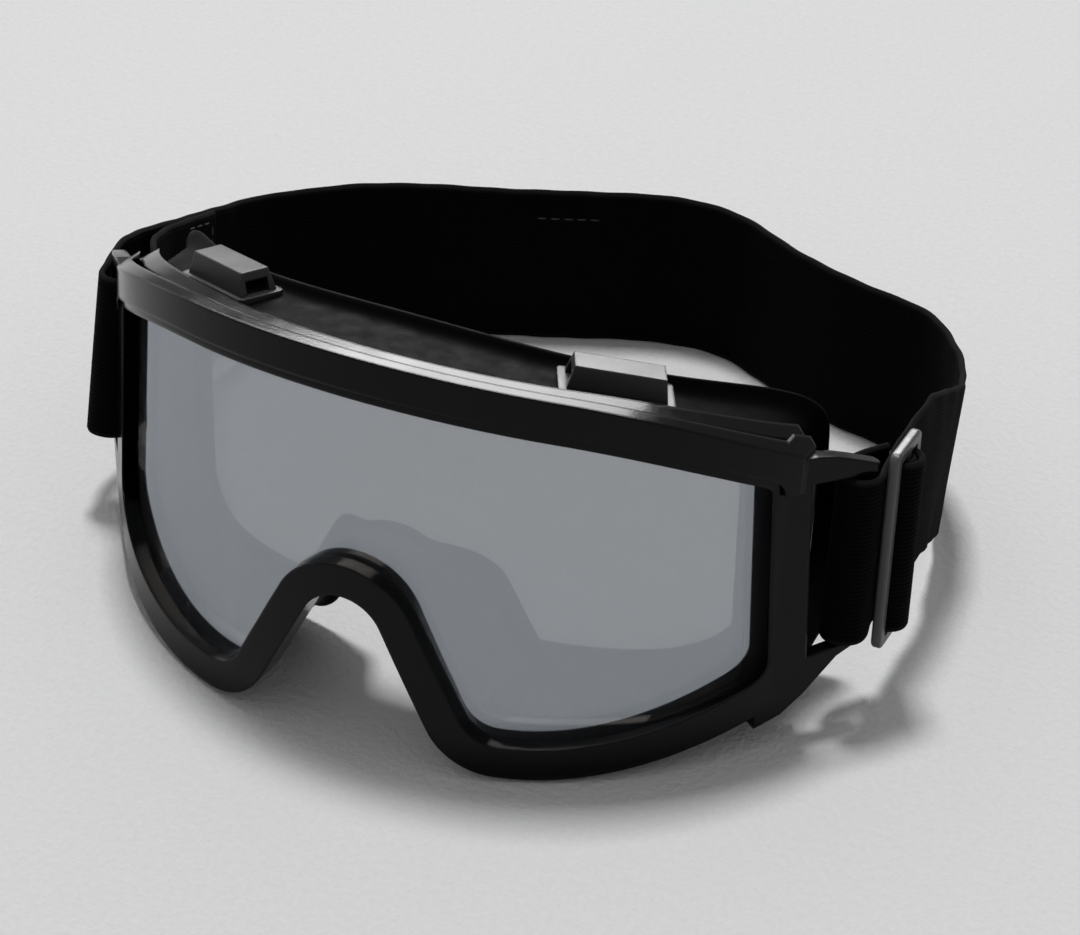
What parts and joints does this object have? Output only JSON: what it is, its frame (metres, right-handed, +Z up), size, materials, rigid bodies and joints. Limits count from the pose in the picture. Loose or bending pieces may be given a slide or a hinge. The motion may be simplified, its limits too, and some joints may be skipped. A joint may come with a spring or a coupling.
{
  "type": "sports protective goggles",
  "caption": "Wrap-round protective goggles: rigid rim with slotted outriggers, smoke lens, vented soft skirt and wide elastic head strap with a three-bar slider.",
  "frame": {"origin": "on the floor, under the middle of the whole object as it stands", "axes": "the lens faces -Y, the strap goes to +Y, +Z is up, +X is to the right when looking at the lens"},
  "size_m": [0.189, 0.1734, 0.09],
  "materials": {
    "rim_plastic": "smooth moulded, satin gloss",
    "smoke_lens": "smoke grey, polished",
    "soft_skirt": "soft, satin",
    "vent_plastic": "satin moulded",
    "slider_plastic": "satin moulded",
    "webbing": "ribbed elastic webbing"
  },
  "bodies": {
    "goggles": {"front_frame": "rim_plastic", "lens": "smoke_lens", "face_skirt": "soft_skirt", "vent_base_top_left": "vent_plastic", "vent_cap_top_left": "vent_plastic", "vent_base_top_right": "vent_plastic", "vent_cap_top_right": "vent_plastic", "vent_base_bottom_left": "vent_plastic", "vent_cap_bottom_left": "vent_plastic", "vent_base_bottom_right": "vent_plastic", "vent_cap_bottom_right": "vent_plastic", "strap_right_limb": "webbing", "strap_right_return": "webbing", "strap_left_limb": "webbing", "strap_left_return": "webbing"},
    "slider": {"strap_slider": "slider_plastic", "strap_end_wrap": "webbing", "strap_fold": "webbing"},
    "rear_band": {"strap_rear_band": "webbing"}
  },
  "joints": [
    {"name": "strap_stretch", "type": "slide", "parent": "goggles", "child": "rear_band", "axis": [0, 1, 0], "range_m": [0, 0.04], "stiffness_N_per_m": 60},
    {"name": "slider_slide", "type": "slide", "parent": "goggles", "child": "slider", "axis": [-0.0244, 0.9996, -0.014], "range_m": [0, 0.018]}
  ]
}
